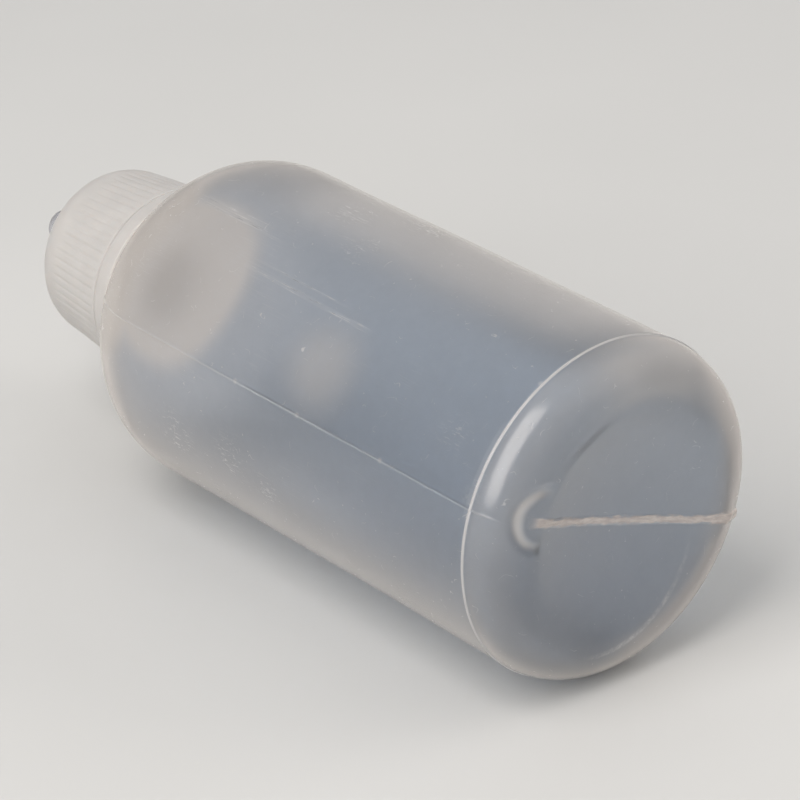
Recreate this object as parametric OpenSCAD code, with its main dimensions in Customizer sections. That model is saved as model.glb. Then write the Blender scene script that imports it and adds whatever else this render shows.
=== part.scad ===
// Squeeze bottle for applying glue: soft translucent bottle, ribbed screw cap,
// nozzle insert with a fine metal outlet tube, and a domed push-on tip closure.
// Units are millimetres. The bottle stands on z = 0 with its axis along +Z.
// The mould parting plane of the bottle is the X-Z plane.

/* [Bottle] */
// Outside diameter of the straight wall
body_d = 36; // [34:0.5:38]
// Height at which the straight wall ends and the shoulder begins
straight_top = 57.6; // [40:0.2:80]
// Radius that joins the base to the wall
heel_r = 4.5; // [3:0.25:6]
// Radius of the rounded shoulder, measured in section
shoulder_r = 12.7; // [12:0.1:13]
// Wall thickness
wall = 1.0; // [0.7:0.05:1.3]
// Depth of the dished hollow under the base
push_up = 1.2; // [0.6:0.1:2]

/* [Neck and thread] */
// Outside diameter of the neck below the thread
neck_d = 15.5; // [15:0.1:16]
// Diameter of the neck bore
neck_bore_d = 12.5; // [11:0.1:12.8]
// Height of the neck above the shoulder
neck_h = 11.7; // [11:0.1:12.5]
// Thread pitch
pitch = 3.175; // [3:0.025:3.4]
// Number of turns of the thread ridge
thread_turns = 1.6; // [1:0.1:1.7]
// Height of the thread ridge above the neck
thread_depth = 1.0; // [0.8:0.05:1]

/* [Screw cap] */
// Diameter of the cap at its lower edge, over the ribs
cap_d = 21.8; // [21.6:0.1:23]
// Height of the cap
cap_h = 16; // [15.6:0.1:17]
// Lean of the side towards the axis
cap_taper = 5.6; // [3:0.1:6]
// Radius of the rounded top edge
cap_edge_r = 4.7; // [4:0.1:5]
// Number of grip grooves
rib_count = 64; // [24:1:72]
// Depth of a grip groove
rib_depth = 0.26; // [0.1:0.02:0.3]
// Height of the plain band under the grip grooves
band_h = 2.2; // [1.5:0.1:3]

/* [Nozzle and tip] */
// Diameter of the hole in the middle of the cap
cap_hole_d = 5.4; // [5:0.1:5.8]
// Diameter of the spout that carries the tip closure
spout_d = 2.6; // [2.4:0.1:2.8]
// Outside diameter of the outlet tube
tube_d = 0.9; // [0.7:0.1:1.1]
// Bore of the outlet tube
tube_bore_d = 0.6; // [0.3:0.05:0.6]
// Outside diameter of the tip closure
tip_d = 4.0; // [3.8:0.1:4.4]
// Height of the tip closure
tip_h = 7.3; // [7:0.1:9]

/* [Hidden] */
$fn = 96;

running_gap = 0.05;
face_gap = 0.02;

body_r = body_d / 2;
heel_center_r = body_r - heel_r;
shoulder_center_r = body_r - shoulder_r;

neck_r = neck_d / 2;
neck_bore_r = neck_bore_d / 2;
neck_root_z = straight_top + sqrt(pow(shoulder_r, 2) - pow(neck_r - shoulder_center_r, 2));
rim_z = neck_root_z + neck_h;
rim_round = 0.4;

// Base: a narrow resting ring around a hollow that is part of a large ball.
rest_ring_inner_r = heel_center_r - 1.3;
hollow_ball_r = (pow(rest_ring_inner_r, 2) + pow(push_up, 2)) / (2 * push_up);
hollow_center_z = push_up - hollow_ball_r;

// Lines left by the mould.
parting_height = 0.1;
parting_w = 0.28;
parting_top = neck_root_z - 0.5;
heel_bead_r = 0.16;
pinch_w = 0.8;
pinch_height = 0.28;
pinch_reach = body_r * 0.86;

// Thread ridges. The cap ridge lies just under the neck ridge.
thread_steps = 48;
fade_steps = 5;
bury = 0.3;
crest_bury = 0.1;
neck_ridge_root_half = 0.75;
neck_ridge_crest_half = 0.35;
cap_ridge_root_half = 0.65;
cap_ridge_crest_half = 0.3;
ridge_drop = 1.1;
neck_ridge_z = neck_root_z + 3.9;
crest_clear = 0.2;
cap_bore_r = neck_r + thread_depth + crest_clear;
cap_ridge_crest_r = neck_r + crest_clear;

cap_z = neck_root_z + 0.1;
cap_top_z = cap_z + cap_h;
cap_r = cap_d / 2;
edge_center_z = cap_top_z - cap_edge_r;
edge_center_r = cap_r - (cap_edge_r + (edge_center_z - cap_z) * sin(cap_taper)) / cos(cap_taper);
cap_inner_edge_r = cap_bore_r - edge_center_r;
cap_roof_z = edge_center_z + cap_inner_edge_r;
cap_hole_r = cap_hole_d / 2;
band_flare = 0.2;
band_groove_w = 0.5;
band_groove_depth = 0.25;
mouth_chamfer = 0.3;
rib_low_z = cap_z + band_h + 0.7;
rib_high_z = edge_center_z - 0.6;
rib_w = 0.62;
boss_inner_r = 3.9;
boss_outer_r = 5.9;

washer_h = 0.8;
washer_r = 7.6;
flange_z = rim_z + washer_h;
flange_h = 1.2;
flange_r = 7.4;
flange_top_z = flange_z + flange_h;
plug_h = 3.8;
plug_r = neck_bore_r - running_gap;
plug_wall = 1.0;
plug_chamfer = 0.4;
funnel_straight = 1.7;
funnel_top_z = flange_top_z - 0.2;
stem_r = cap_hole_r - running_gap;
snap_z = cap_top_z + face_gap;
snap_r = cap_hole_r + 0.2;
snap_h = 0.5;
spout_r = spout_d / 2;
spout_z = snap_z + snap_h;
spout_h = 2.4;

tube_r = tube_d / 2;
tube_press = 0.01;
tube_z = flange_top_z + 0.2;
tube_chamfer = 0.1;

tip_z = spout_z + face_gap;
tip_r = tip_d / 2;
tip_rim_r = tip_r + 0.25;
tip_rim_h = 0.8;
tip_top_z = tip_z + tip_h;
tip_mouth_r = spout_r + 0.03;
tip_mouth_h = spout_h + 0.2;
tip_bore_r = 0.75;
tip_bore_top_z = tip_top_z - 1.4;
tube_top_z = tip_bore_top_z - 0.4;

// ---- shared shapes ----

// Half section of the bottle without its neck, moved outwards by grow.
module body_outline(grow) {
    translate([heel_center_r, heel_r]) circle(heel_r + grow);
    translate([0, -grow]) square([heel_center_r, heel_r + grow]);
    translate([0, heel_r]) square([body_r + grow, straight_top - heel_r]);
    intersection() {
        translate([shoulder_center_r, straight_top]) circle(shoulder_r + grow);
        translate([0, straight_top]) square([body_r + grow, shoulder_r + grow]);
    }
}

// Half section of the ball that shapes the hollow under the base, moved outwards by grow.
module hollow_ball(grow) {
    translate([0, hollow_center_z]) circle(hollow_ball_r + grow, $fn = 240);
}

// The four corners of a ridge section at step i: inner pair and outer pair.
function ridge_section(i, steps, turns, start_z, inner, outer) =
    let (
        angle = 360 * turns * i / steps,
        z = start_z + pitch * turns * i / steps,
        fade = min(1, min(i, steps - i) / fade_steps),
        r_in = inner[0] + (inner[1] - inner[0]) * fade,
        r_out = outer[0] + (outer[1] - outer[0]) * fade
    )
    [
        [r_in * cos(angle), r_in * sin(angle), z - inner[2]],
        [r_out * cos(angle), r_out * sin(angle), z - outer[2]],
        [r_out * cos(angle), r_out * sin(angle), z + outer[2]],
        [r_in * cos(angle), r_in * sin(angle), z + inner[2]]
    ];

// Helical ridge. inner and outer are [radius at the ends, radius in the middle, half height].
module thread_ridge(start_z, turns, inner, outer) {
    steps = round(turns * thread_steps);
    sections = [for (i = [0:steps]) ridge_section(i, steps, turns, start_z, inner, outer)];
    corners = [for (s = sections) for (p = s) p];
    sides = [
        for (i = [0:steps - 1])
        for (k = [0:3])
        let (a = 4 * i + k, b = 4 * i + (k + 1) % 4, c = b + 4, d = a + 4)
        for (t = [[a, b, c], [a, c, d]]) t
    ];
    last = 4 * steps;
    ends = [[3, 2, 1], [3, 1, 0], [last, last + 1, last + 2], [last, last + 2, last + 3]];
    polyhedron(points = corners, faces = concat(sides, ends), convexity = 6);
}

// ---- bottle ----

module body_shell() {
    rotate_extrude() {
        difference() {
            union() {
                body_outline(0);
                translate([0, straight_top]) square([neck_r, rim_z - rim_round - straight_top]);
                translate([0, rim_z - rim_round]) square([neck_r - rim_round, rim_round]);
                translate([neck_r - rim_round, rim_z - rim_round]) circle(rim_round);
            }
            difference() {
                body_outline(-wall);
                hollow_ball(wall);
            }
            translate([0, straight_top]) square([neck_bore_r, rim_z - straight_top + 1]);
            hollow_ball(0);
        }
    }
}

// Skin of the bottle raised by height, from which the lines left by the mould are cut.
module raised_skin(height) {
    low_r = neck_r + 0.3;
    rotate_extrude() intersection() {
        difference() {
            body_outline(height);
            body_outline(-wall / 2);
        }
        translate([low_r, 0]) square([body_r + height - low_r, parting_top]);
    }
}

// The fine line where the two halves of the mould met.
module parting_line() {
    intersection() {
        raised_skin(parting_height);
        translate([-body_r - 1, -parting_w / 2, 0.2])
            cube([body_d + 2, parting_w, parting_top]);
    }
}

// The rough weld across the base, where the tube of plastic was pinched shut.
module pinch_weld() {
    intersection() {
        translate([-rest_ring_inner_r, -pinch_w / 2, 0])
            cube([2 * rest_ring_inner_r, pinch_w, push_up + wall]);
        rotate_extrude() intersection() {
            difference() {
                hollow_ball(wall / 2);
                hollow_ball(-pinch_height);
            }
            square([rest_ring_inner_r, push_up + wall]);
        }
    }
    intersection() {
        raised_skin(pinch_height);
        for (side = [-1, 1])
            translate([side * (pinch_reach + rest_ring_inner_r) / 2, 0, heel_r / 4])
                cube([pinch_reach - rest_ring_inner_r, pinch_w, heel_r / 2], center = true);
    }
}

module bottle_body() {
    color([0.66, 0.70, 0.74, 0.6]) union() {
        body_shell();
        rotate_extrude() translate([body_r, heel_r]) circle(heel_bead_r, $fn = 16);
        parting_line();
        pinch_weld();
        thread_ridge(
            neck_ridge_z,
            thread_turns,
            [neck_r - bury, neck_r - bury, neck_ridge_root_half],
            [neck_r - crest_bury, neck_r + thread_depth, neck_ridge_crest_half]
        );
    }
}

// ---- screw cap ----

module cap_shell() {
    tangent_r = edge_center_r + cap_edge_r * cos(cap_taper);
    tangent_z = edge_center_z + cap_edge_r * sin(cap_taper);
    band_top_z = cap_z + band_h;
    band_top_r = cap_r - band_h * tan(cap_taper);
    rotate_extrude() {
        difference() {
            union() {
                polygon([
                    [0, cap_z],
                    [cap_r, cap_z],
                    [tangent_r, tangent_z],
                    [edge_center_r, edge_center_z],
                    [0, edge_center_z]
                ]);
                polygon([
                    [0, cap_z],
                    [cap_r, cap_z],
                    [cap_r + band_flare, cap_z + band_flare],
                    [band_top_r + band_flare, band_top_z],
                    [0, band_top_z]
                ]);
                translate([edge_center_r, edge_center_z]) circle(cap_edge_r);
                translate([0, edge_center_z]) square([edge_center_r, cap_edge_r]);
            }
            // groove between the plain band and the grip
            translate([band_top_r - band_groove_depth, band_top_z])
                square([1, band_groove_w]);
            // hollow inside, with a rounded corner under the roof
            difference() {
                union() {
                    translate([0, cap_z - 1]) square([cap_bore_r, edge_center_z - cap_z + 1]);
                    translate([edge_center_r, edge_center_z]) circle(cap_inner_edge_r);
                    translate([0, edge_center_z]) square([edge_center_r, cap_inner_edge_r]);
                }
                // ring under the roof that presses on the nozzle flange
                translate([boss_inner_r, flange_top_z + face_gap])
                    square([boss_outer_r - boss_inner_r, cap_roof_z - flange_top_z]);
            }
            polygon([
                [0, cap_z - 1],
                [cap_bore_r + mouth_chamfer, cap_z - 1],
                [cap_bore_r + mouth_chamfer, cap_z],
                [cap_bore_r, cap_z + mouth_chamfer],
                [0, cap_z + mouth_chamfer]
            ]);
            square([cap_hole_r, cap_top_z + 1]);
        }
    }
}

// One vee groove along the leaning side of the cap.
module grip_groove() {
    low_r = cap_r - (rib_low_z - cap_z) * tan(cap_taper);
    translate([low_r, 0, rib_low_z])
        rotate([0, -cap_taper, 0])
            linear_extrude(height = (rib_high_z - rib_low_z) / cos(cap_taper))
                polygon([[-rib_depth, 0], [rib_depth, -rib_w / 2], [rib_depth, rib_w / 2]]);
}

module screw_cap() {
    color([0.86, 0.85, 0.83]) union() {
        difference() {
            cap_shell();
            for (i = [0:rib_count - 1])
                rotate([0, 0, (i + 0.5) * 360 / rib_count]) grip_groove();
        }
        thread_ridge(
            neck_ridge_z - ridge_drop,
            thread_turns,
            [cap_bore_r + crest_bury, cap_ridge_crest_r, cap_ridge_crest_half],
            [cap_bore_r + bury, cap_bore_r + bury, cap_ridge_root_half]
        );
    }
}

// ---- seal washer ----

module seal_washer() {
    color([0.93, 0.93, 0.90])
        translate([0, 0, rim_z])
            difference() {
                cylinder(r = washer_r, h = washer_h);
                translate([0, 0, -1]) cylinder(r = neck_bore_r, h = washer_h + 2);
            }
}

// ---- nozzle insert ----

module nozzle_insert() {
    plug_z = flange_z - plug_h;
    bore_r = tube_r - tube_press;
    color([0.80, 0.83, 0.86, 0.8])
        rotate_extrude() polygon([
            [plug_r - plug_wall, plug_z],
            [plug_r - plug_chamfer, plug_z],
            [plug_r, plug_z + plug_chamfer],
            [plug_r, flange_z],
            [flange_r, flange_z],
            [flange_r, flange_top_z],
            [stem_r, flange_top_z],
            [stem_r, snap_z],
            [snap_r, snap_z],
            [snap_r, snap_z + snap_h / 2],
            [stem_r - 0.3, spout_z],
            [spout_r, spout_z],
            [spout_r, spout_z + spout_h - 0.2],
            [spout_r - 0.2, spout_z + spout_h],
            [bore_r, spout_z + spout_h],
            [bore_r, funnel_top_z],
            [plug_r - plug_wall, plug_z + funnel_straight]
        ]);
}

// ---- outlet tube ----

module outlet_tube() {
    bore_r = tube_bore_d / 2;
    color([0.72, 0.73, 0.75])
        rotate_extrude() polygon([
            [bore_r, tube_z],
            [tube_r, tube_z],
            [tube_r, tube_top_z - tube_chamfer],
            [tube_r - tube_chamfer / 2, tube_top_z],
            [bore_r, tube_top_z]
        ]);
}

// ---- tip closure ----

module tip_closure() {
    color([0.60, 0.63, 0.68, 0.7])
        rotate_extrude() difference() {
            union() {
                translate([0, tip_z]) square([tip_r, tip_h - tip_r]);
                translate([0, tip_z]) square([tip_rim_r, tip_rim_h]);
                intersection() {
                    translate([0, tip_top_z - tip_r]) circle(tip_r);
                    translate([0, tip_top_z - tip_r]) square([tip_r, tip_r]);
                }
            }
            translate([0, tip_z - 1]) square([tip_mouth_r, tip_mouth_h + 1]);
            translate([0, tip_z]) square([tip_bore_r, tip_bore_top_z - tip_bore_r - tip_z]);
            intersection() {
                translate([0, tip_bore_top_z - tip_bore_r]) circle(tip_bore_r, $fn = 48);
                translate([0, tip_z]) square([tip_bore_r, tip_h]);
            }
        }
}

bottle_body();
screw_cap();
seal_washer();
nozzle_insert();
outlet_tube();
tip_closure();
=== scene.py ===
import math

import bpy
import numpy as np
from mathutils import Matrix, Vector


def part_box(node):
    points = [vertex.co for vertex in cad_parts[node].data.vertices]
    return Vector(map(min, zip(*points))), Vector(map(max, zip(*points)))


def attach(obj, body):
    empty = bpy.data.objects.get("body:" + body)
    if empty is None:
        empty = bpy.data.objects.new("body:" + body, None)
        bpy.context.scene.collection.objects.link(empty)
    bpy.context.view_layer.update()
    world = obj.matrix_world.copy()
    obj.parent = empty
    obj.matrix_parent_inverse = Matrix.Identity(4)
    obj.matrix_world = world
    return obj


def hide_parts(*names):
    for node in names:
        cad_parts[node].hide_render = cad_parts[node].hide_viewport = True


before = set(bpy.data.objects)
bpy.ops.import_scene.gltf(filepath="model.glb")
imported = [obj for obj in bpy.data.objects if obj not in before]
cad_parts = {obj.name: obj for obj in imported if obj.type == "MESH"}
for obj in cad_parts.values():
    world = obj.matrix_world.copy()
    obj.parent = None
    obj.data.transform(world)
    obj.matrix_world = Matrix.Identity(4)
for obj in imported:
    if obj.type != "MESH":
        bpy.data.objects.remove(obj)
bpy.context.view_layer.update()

MM = 0.001


def node_box_mm(name):
    """Lowest and highest corner of a CAD node, in millimetres."""
    low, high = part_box(name)
    return np.array(low) / MM, np.array(high) / MM


body_low, body_high = node_box_mm("bottle_body")
cap_low, cap_high = node_box_mm("screw_cap")
nozzle_low, nozzle_high = node_box_mm("nozzle_insert")
tip_low, tip_high = node_box_mm("tip_closure")
washer_top = node_box_mm("seal_washer")[1][2]

# ---------------------------------------------------------------- profile helpers


def arc(center_r, center_z, radius, start_deg, end_deg, count):
    """Points along an arc in the (r, z) half plane."""
    a = np.radians(np.linspace(start_deg, end_deg, count))
    return np.column_stack([center_r + radius * np.cos(a), center_z + radius * np.sin(a)])


def line(start, end, count):
    """Points along a straight run, both ends included."""
    t = np.linspace(0.0, 1.0, count)[:, None]
    return np.array(start)[None, :] * (1 - t) + np.array(end)[None, :] * t


def join(parts):
    """Joins (tag, points) runs into one profile, dropping repeated points."""
    points, tags = [], []
    for tag, run in parts:
        for p in run:
            if points and np.hypot(*(np.array(points[-1]) - p)) < 1e-4:
                continue
            points.append([float(p[0]), float(p[1])])
            tags.append(tag)
    return np.array(points), np.array(tags)


def profile_normals(points, closed):
    """Outward normals of a profile whose solid lies to the left of its direction."""
    if closed:
        ahead, behind = np.roll(points, -1, 0), np.roll(points, 1, 0)
    else:
        ahead = np.vstack([points[1:], points[-1:]])
        behind = np.vstack([points[:1], points[:-1]])
    d = ahead - behind
    n = np.column_stack([d[:, 1], -d[:, 0]])
    return n / np.maximum(np.linalg.norm(n, axis=1, keepdims=True), 1e-9)


def smooth(edge0, edge1, x):
    """0 up to edge0, 1 from edge1 on, with an S-curve between."""
    t = np.clip((x - edge0) / (edge1 - edge0), 0.0, 1.0)
    return t * t * (3 - 2 * t)


def turned(name, points, tags, angles, offset, closed=False):
    """Turns a profile round the axis and moves each point along its normal by offset(r, z, angle, tags)."""
    normals = profile_normals(points, closed)
    r0, z0 = points[:, 0:1], points[:, 1:2]
    shift = offset(r0 + 0 * angles[None, :], z0 + 0 * angles[None, :], angles[None, :] + 0 * r0, tags)
    r = r0 + normals[:, 0:1] * shift
    z = z0 + normals[:, 1:2] * shift
    x, y = r * np.cos(angles)[None, :], r * np.sin(angles)[None, :]
    rows, cols = x.shape
    verts = np.stack([x, y, z], -1).reshape(-1, 3) * MM
    index = np.arange(rows * cols).reshape(rows, cols)
    poles = [] if closed else [i for i in (0, rows - 1) if points[i, 0] < 1e-6]
    faces = []
    last = rows if closed else rows - 1
    for i in range(last):
        a, b = index[i], index[(i + 1) % rows]
        a2, b2 = np.roll(a, -1), np.roll(b, -1)
        if i in poles:
            faces += [(int(a[0]), int(q2), int(q)) for q, q2 in zip(b, b2)]
        elif (i + 1) in poles:
            faces += [(int(p), int(p2), int(b[0])) for p, p2 in zip(a, a2)]
        else:
            faces += [(int(p), int(p2), int(q2), int(q)) for p, p2, q, q2 in zip(a, a2, b, b2)]
    used = np.unique(np.array([i for f in faces for i in f]))
    renumber = np.full(len(verts), -1)
    renumber[used] = np.arange(len(used))
    verts = verts[used]
    faces = [tuple(int(renumber[i]) for i in f) for f in faces]
    mesh = bpy.data.meshes.new(name)
    mesh.from_pydata([tuple(v) for v in verts], [], faces)
    mesh.validate()
    mesh.shade_smooth()
    mesh.update()
    obj = bpy.data.objects.new(name, mesh)
    bpy.context.scene.collection.objects.link(obj)
    return obj


def wobble(x, seed, octaves=3, base=1.0):
    """Smooth repeatable unevenness between about -1 and 1."""
    total, size = 0.0, 0.0
    for k in range(octaves):
        f = base * 1.9**k
        total = total + np.sin(f * x + 1.7 * seed + 2.3 * k) * 0.6**k
        total = total + np.sin(1.37 * f * x + 4.1 * seed + 0.7 * k) * 0.4 * 0.6**k
        size += 1.4 * 0.6**k
    return total / size


def clustered_angles(count, centers_deg, reach_deg, step_deg):
    """Even angles with finer steps around the given ones."""
    even = np.arange(count) * 360.0 / count
    fine = []
    for c in centers_deg:
        gap = (even - c + 180) % 360 - 180
        even = even[np.abs(gap) > reach_deg + step_deg]
        fine.append(np.arange(c - reach_deg, c + reach_deg + step_deg / 2, step_deg))
    return np.radians(np.sort(np.concatenate([even] + fine)))


# ---------------------------------------------------------------- bottle body

# All sizes in this section are in millimetres. The ring is the widest line of the body.
RING_RISE = 0.16
R_BODY = (body_high[1] - body_low[1]) / 2 - RING_RISE
HEEL = 4.5
SHOULDER = 12.7
WALL = 1.0
STRAIGHT_TOP = 57.6
NECK_R = 7.75
BORE_R = 6.25
RIM_Z = body_high[2]
RIM_ROUND = 0.4
RING_HALF = 0.34
PITCH = 3.175
THREAD_TURNS = 1.6
THREAD_DEPTH = 1.0
heel_r0 = R_BODY - HEEL
shoulder_r0 = R_BODY - SHOULDER
neck_root_z = STRAIGHT_TOP + math.sqrt(SHOULDER**2 - (NECK_R - shoulder_r0) ** 2)
neck_ridge_z = neck_root_z + 3.9
HOLLOW_R = heel_r0 - 1.3
PUSH_UP = 1.2
BALL_R = (HOLLOW_R**2 + PUSH_UP**2) / (2 * PUSH_UP)
# weld across the base: how far its ends bow up, where it ends along x, and the groove round each end
WELD_RISE = 0.42
WELD_ENDS = (14.4, -16.9)
GROOVE_AT = (12.7, 0.6)
NEAR_GROOVE_DEPTH = 0.34
FAR_GROOVE_DEPTH = 0.05
# mesh columns round the body, with finer ones at the two parting lines
BODY_COLUMNS = 330
FINE_REACH_DEG = 4.2
FINE_STEP_DEG = 0.21


def dish_z(r):
    """Height of the hollow under the base: part of a ball, easing into the resting ring."""
    z = PUSH_UP - BALL_R + np.sqrt(BALL_R**2 - r**2)
    return 0.5 * (z + np.sqrt(z**2 + 0.01)) - 0.008


def helix_height(z, angle, start_z, crest_half, root_half):
    """Height of a thread ridge over the surface at (angle, z)."""
    run_out = 0.11
    height = np.zeros_like(z)
    for k in range(3):
        turn = (angle % (2 * math.pi)) / (2 * math.pi) + k
        inside = (turn >= 0) & (turn <= THREAD_TURNS)
        ends = np.minimum(smooth(0.0, run_out, turn), smooth(0.0, run_out, THREAD_TURNS - turn))
        away = np.abs(z - (start_z + PITCH * turn))
        ridge = 1 - smooth(crest_half * 0.9, root_half * 1.05, away)
        height = np.maximum(height, np.where(inside, THREAD_DEPTH * ridge * ends, 0.0))
    return height


def body_profile():
    base_r = np.linspace(0, heel_r0 - 0.1, 66)
    floor_r = np.linspace(HOLLOW_R - 0.5, 0, 20)
    rim_low = RIM_Z - RIM_ROUND
    neck_rows = int((rim_low - neck_root_z) / 0.13)
    inner_heel = HEEL - WALL
    inner_shoulder = SHOULDER - WALL
    bore_root_z = STRAIGHT_TOP + math.sqrt(inner_shoulder**2 - (BORE_R - shoulder_r0) ** 2)
    arc_end = math.degrees(math.acos((NECK_R + 0.35 - shoulder_r0) / SHOULDER))
    inner_end = math.degrees(math.acos((BORE_R + 0.3 - shoulder_r0) / inner_shoulder))
    return join(
        [
            ("base", np.column_stack([base_r, dish_z(base_r)])),
            ("heel", arc(heel_r0, HEEL, HEEL, -90, -5, 44)),
            ("ring", line((R_BODY, HEEL - RING_HALF), (R_BODY, HEEL + RING_HALF), 19)),
            ("wall", line((R_BODY, HEEL + 0.6), (R_BODY, STRAIGHT_TOP), 46)),
            ("shoulder", arc(shoulder_r0, STRAIGHT_TOP, SHOULDER, 2, arc_end, 40)),
            ("root", line((NECK_R + 0.1, neck_root_z + 0.1), (NECK_R, neck_root_z + 0.35), 3)),
            ("neck", line((NECK_R, neck_root_z + 0.45), (NECK_R, rim_low), neck_rows)),
            ("rim", arc(NECK_R - RIM_ROUND, rim_low, RIM_ROUND, 10, 90, 6)),
            ("rim", line((NECK_R - 0.6, RIM_Z), (BORE_R + 0.3, RIM_Z), 3)),
            ("rim", arc(BORE_R + 0.2, RIM_Z - 0.2, 0.2, 100, 180, 4)),
            ("bore", line((BORE_R, RIM_Z - 0.5), (BORE_R, bore_root_z + 0.3), 10)),
            ("inside", arc(shoulder_r0, STRAIGHT_TOP, inner_shoulder, inner_end, 0, 24)),
            ("inside", line((R_BODY - WALL, STRAIGHT_TOP - 1), (R_BODY - WALL, HEEL + 1), 26)),
            ("inside", arc(heel_r0, HEEL, inner_heel, 0, -88, 14)),
            ("inside", line((heel_r0 - 0.2, WALL), (HOLLOW_R + 0.1, WALL + 0.02), 3)),
            ("inside", np.column_stack([floor_r, dish_z(floor_r) + WALL])),
        ]
    )


def on_runs(tags, *names):
    """True for the profile rows of the named runs."""
    return np.isin(tags, names)[:, None]


def uneven_wall(r, z, angle, tags):
    """Soft plastic is never quite true, outside or inside."""
    outside = (
        0.035 * np.sin(3 * angle + z * 0.05)
        + 0.03 * np.sin(5 * angle - z * 0.11 + 1.0)
        + 0.025 * np.sin(2 * angle + z * 0.23 + 2.0)
    )
    calm = smooth(HOLLOW_R, R_BODY, r) * (1 - smooth(neck_root_z - 6, neck_root_z - 1, z))
    inside = 0.09 * np.sin(4 * angle + z * 0.09 + 0.6) + 0.07 * np.sin(7 * angle - z * 0.15)
    out = np.where(on_runs(tags, "wall", "shoulder", "heel", "ring"), outside * calm, 0.0)
    return out + np.where(on_runs(tags, "inside") & (r > 12), inside, 0.0)


def mould_relief(r, y, z, angle, tags):
    """Parting lines between the mould's halves, and the ring where its base insert met them."""
    parting = 0.07 * (1 + 0.45 * wobble(z, 3.0, 4, 0.8)) * np.exp(-((y / 0.10) ** 2))
    faint = 0.025 * np.exp(-((y / 0.12) ** 2)) * smooth(15.6, 17.4, r)
    ring_height = 0.14 + 0.02 * wobble(angle * 9, 5.0, 3, 1.0)
    ring = ring_height * np.exp(-(((z - HEEL) / 0.10) ** 2))
    out = np.where(on_runs(tags, "wall", "shoulder", "ring"), parting, 0.0)
    out += np.where(on_runs(tags, "heel"), faint, 0.0)
    return out + np.where(on_runs(tags, "ring", "heel", "wall"), ring, 0.0)


def weld_relief(x, y):
    """Rough weld across the base; each of its ends stands inside a short curved groove."""
    left, right = WELD_ENDS
    middle = WELD_RISE * (x / 15) ** 2 + 0.05 * wobble(x, 2.0, 3, 0.7)
    half = 0.40 + 0.06 * wobble(x, 1.0, 4, 1.3) + 0.14 * smooth(11, 14, np.abs(x))
    across = 1 - smooth(0.4 * half, 1.4 * half, np.abs(y - middle))
    along = (1 - smooth(left - 0.5, left + 0.2, x)) * smooth(right - 0.2, right + 0.5, x)
    rough = 1 + 0.22 * wobble(x * 1.3 + 2 * y, 6.0, 3, 1.2)
    relief = (0.13 + 0.25 * smooth(right + 1.3, right, x)) * across * along * rough
    for side, depth in ((1, NEAR_GROOVE_DEPTH), (-1, FAR_GROOVE_DEPTH)):
        dx, dy = side * x - GROOVE_AT[0], y - GROOVE_AT[1]
        away = np.hypot(dx, dy)
        open_side = 1 - smooth(75, 110, np.degrees(np.abs(np.arctan2(dy, dx))))
        relief = relief - depth * smooth(2.2, 2.9, away) * (1 - smooth(3.0, 4.0, away)) * open_side
    return relief


def body_offset(r, z, angle, tags):
    x, y = r * np.cos(angle), r * np.sin(angle)
    out = uneven_wall(r, z, angle, tags) + mould_relief(r, y, z, angle, tags)
    underside = on_runs(tags, "base", "heel")
    out += np.where(underside, weld_relief(x, y), 0.0)
    out += np.where(on_runs(tags, "neck"), helix_height(z, angle, neck_ridge_z, 0.35, 0.75), 0.0)
    # nothing stands proud of the plane the bottle rests on
    return np.where(underside & (r < heel_r0 + 2.2), np.minimum(out, z), out)


body_points, body_tags = body_profile()
body_angles = clustered_angles(BODY_COLUMNS, (0.0, 180.0, 360.0), FINE_REACH_DEG, FINE_STEP_DEG)
body_angles = np.unique(np.round(body_angles % (2 * math.pi), 7))
body_obj = turned("bottle_body_skin", body_points, body_tags, body_angles, body_offset)

# ---------------------------------------------------------------- screw cap

CAP_Z = cap_low[2]
CAP_TOP = cap_high[2]
TAPER = math.radians(5.6)
EDGE = 4.7
CAP_R = 10.9
BAND = 2.2
BAND_FLARE = 0.2
BAND_GROOVE = 0.5
CAP_BORE = 8.95
HOLE_R = 2.7
RIBS = 64
COLUMNS_PER_RIB = 10
RIB_DEPTH = 0.06
FLANGE = 1.2
edge_z = CAP_TOP - EDGE
edge_r = CAP_R - (EDGE + (edge_z - CAP_Z) * math.sin(TAPER)) / math.cos(TAPER)
inner_edge = CAP_BORE - edge_r
roof_z = edge_z + inner_edge
# the ring under the cap's roof presses on the nozzle's flange
boss_z = washer_top + FLANGE + 0.02
BOSS_IN = 3.9
BOSS_OUT = 5.9


def side_r(z):
    """Radius of the cap's tapered side."""
    return CAP_R - (z - CAP_Z) * math.tan(TAPER)


def flared_r(z):
    """Radius of the plain band, which stands a little proud of the side."""
    return side_r(z) + BAND_FLARE


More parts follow.
